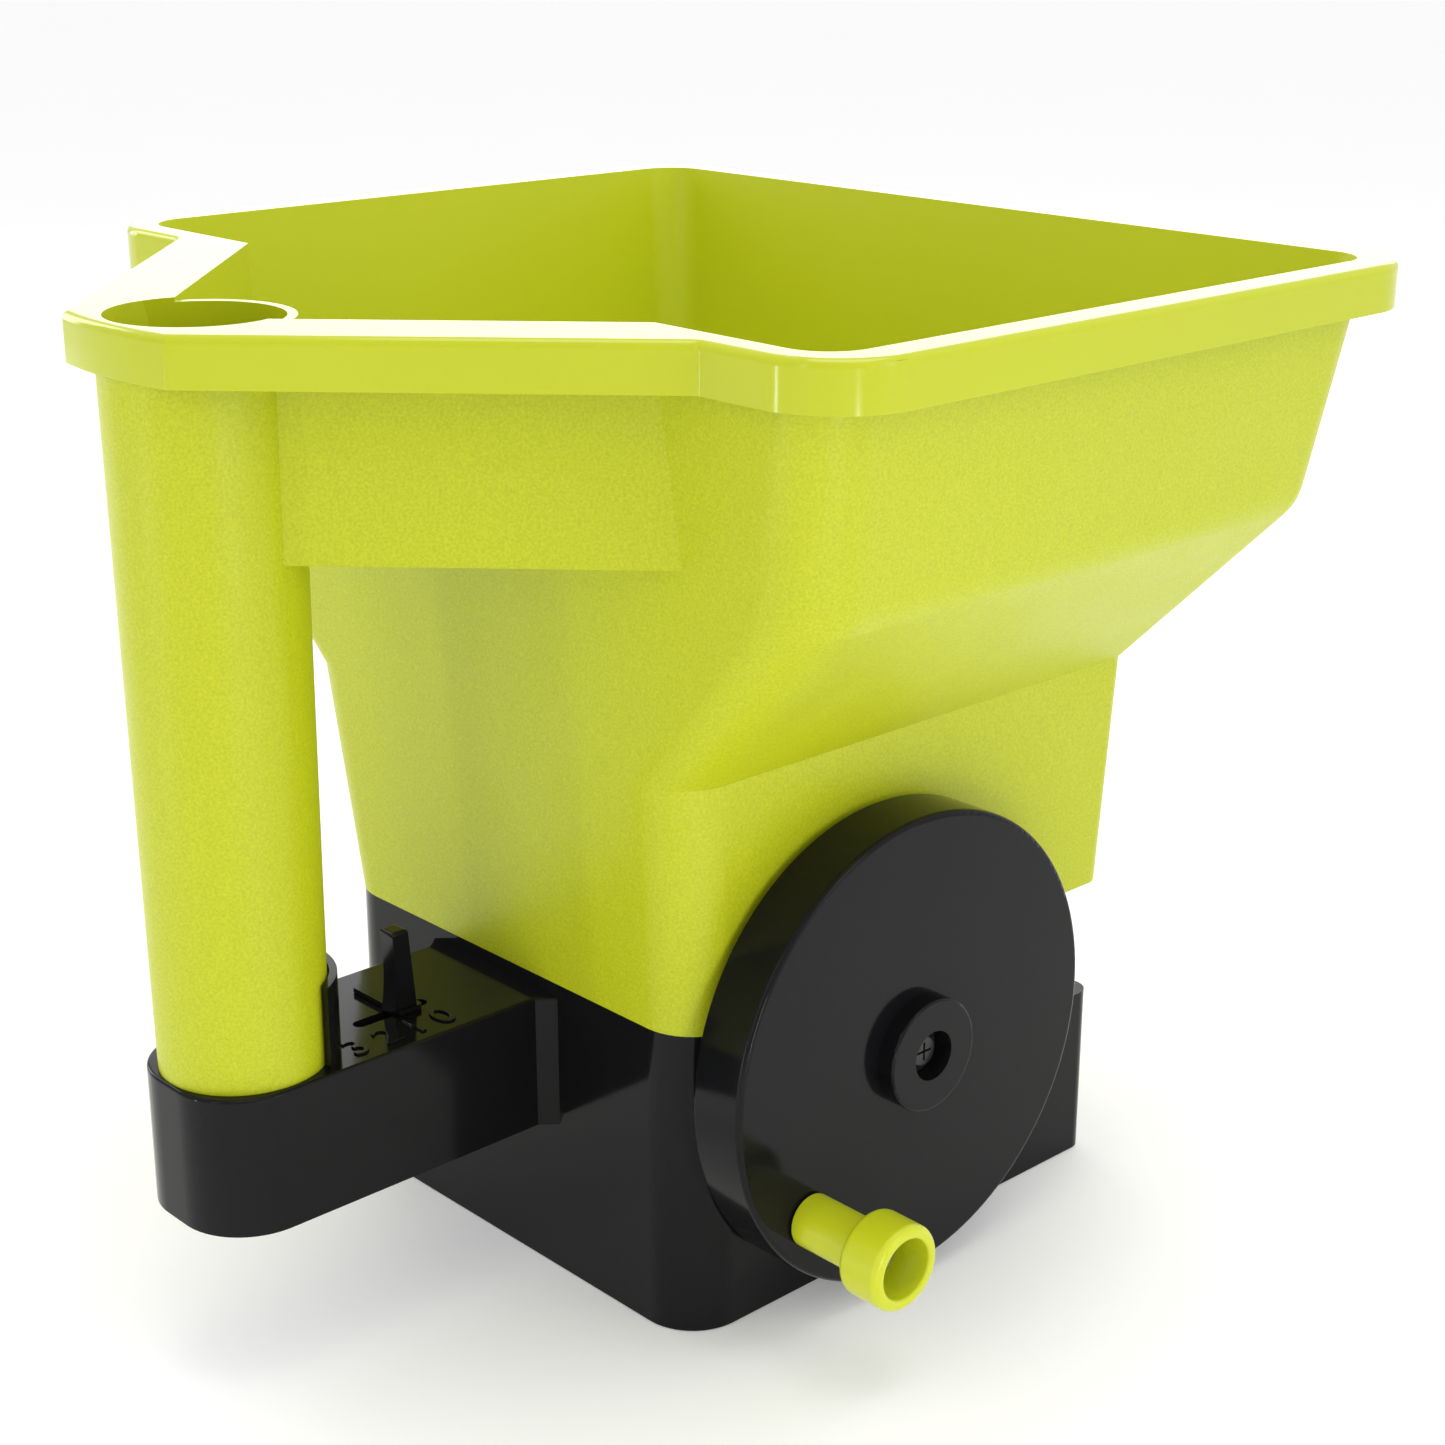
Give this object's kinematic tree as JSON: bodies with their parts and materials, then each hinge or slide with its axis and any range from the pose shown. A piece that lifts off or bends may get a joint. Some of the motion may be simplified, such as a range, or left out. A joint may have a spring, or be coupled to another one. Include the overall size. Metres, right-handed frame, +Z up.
{
  "type": "hand-held crank spreader",
  "caption": "Hand-held garden spreader with a lime hopper and hollow handle tube, a black base with a side crank, and a lever for the gate.",
  "frame": {"origin": "centre of the outline seen from above, on the ground plane under the base", "axes": "+Z up, +Y towards the throwing mouth and away from the handle tube, +X towards the crank"},
  "size_m": [0.2632, 0.273, 0.2425],
  "materials": {
    "lime_plastic": "finely grained lime green moulded plastic",
    "black_plastic": "polished black moulded plastic",
    "steel": "plated steel",
    "black_steel": "blackened steel",
    "gear_plastic": "off-white gear plastic"
  },
  "bodies": {
    "frame": {"hopper": "lime_plastic", "handle_tube": "lime_plastic", "base_housing": "black_plastic", "handle_arm": "black_plastic", "bottom_cover": "black_plastic", "gate_guide_left": "black_plastic", "gate_guide_right": "black_plastic", "crank_axle": "black_steel", "crank_spacer": "gear_plastic", "crank_washer": "black_steel", "crank_screw": "black_steel", "outer_bush": "gear_plastic", "inner_bush": "gear_plastic", "lower_bush": "gear_plastic", "upper_bush": "gear_plastic", "floor_bush": "gear_plastic", "guide_screws": "steel", "hopper_screws": "steel", "cover_screws": "steel", "handle_washer": "steel", "handle_screw": "steel"},
    "crank": {"crank_wheel": "black_plastic", "knob_pin": "steel"},
    "knob": {"crank_knob": "lime_plastic"},
    "cross_drive": {"cross_shaft": "steel", "drive_pinion": "gear_plastic", "drive_bevel": "gear_plastic", "shaft_clips": "steel"},
    "rotor": {"spindle": "steel", "spindle_bevel": "gear_plastic", "impeller": "black_plastic", "agitator": "black_plastic", "agitator_screw": "steel"},
    "gate": {"gate_plate": "black_plastic", "gate_lever": "black_plastic"}
  },
  "joints": [
    {"name": "crank_spin", "type": "hinge", "parent": "frame", "child": "crank", "pos_m": [0.08, 0.0145, 0.0635], "axis": [1, 0, 0], "continuous": true},
    {"name": "knob_spin", "type": "hinge", "parent": "crank", "child": "knob", "pos_m": [0.1, -0.0216, 0.0323], "axis": [1, 0, 0], "continuous": true},
    {"name": "shaft_spin", "type": "hinge", "parent": "frame", "child": "cross_drive", "pos_m": [0.05, 0.0145, 0.029], "axis": [1, 0, 0], "continuous": true},
    {"name": "rotor_spin", "type": "hinge", "parent": "frame", "child": "rotor", "pos_m": [0.004, 0.0145, 0.05], "axis": [0, 0, 1], "continuous": true},
    {"name": "gate_slide", "type": "slide", "parent": "frame", "child": "gate", "axis": [0, -1, 0], "range_m": [-0.006, 0.01]}
  ],
  "couplings": [
    {"joint": "shaft_spin", "follows": "crank_spin", "ratio": 4.2857},
    {"joint": "rotor_spin", "follows": "crank_spin", "ratio": 4.2857}
  ]
}
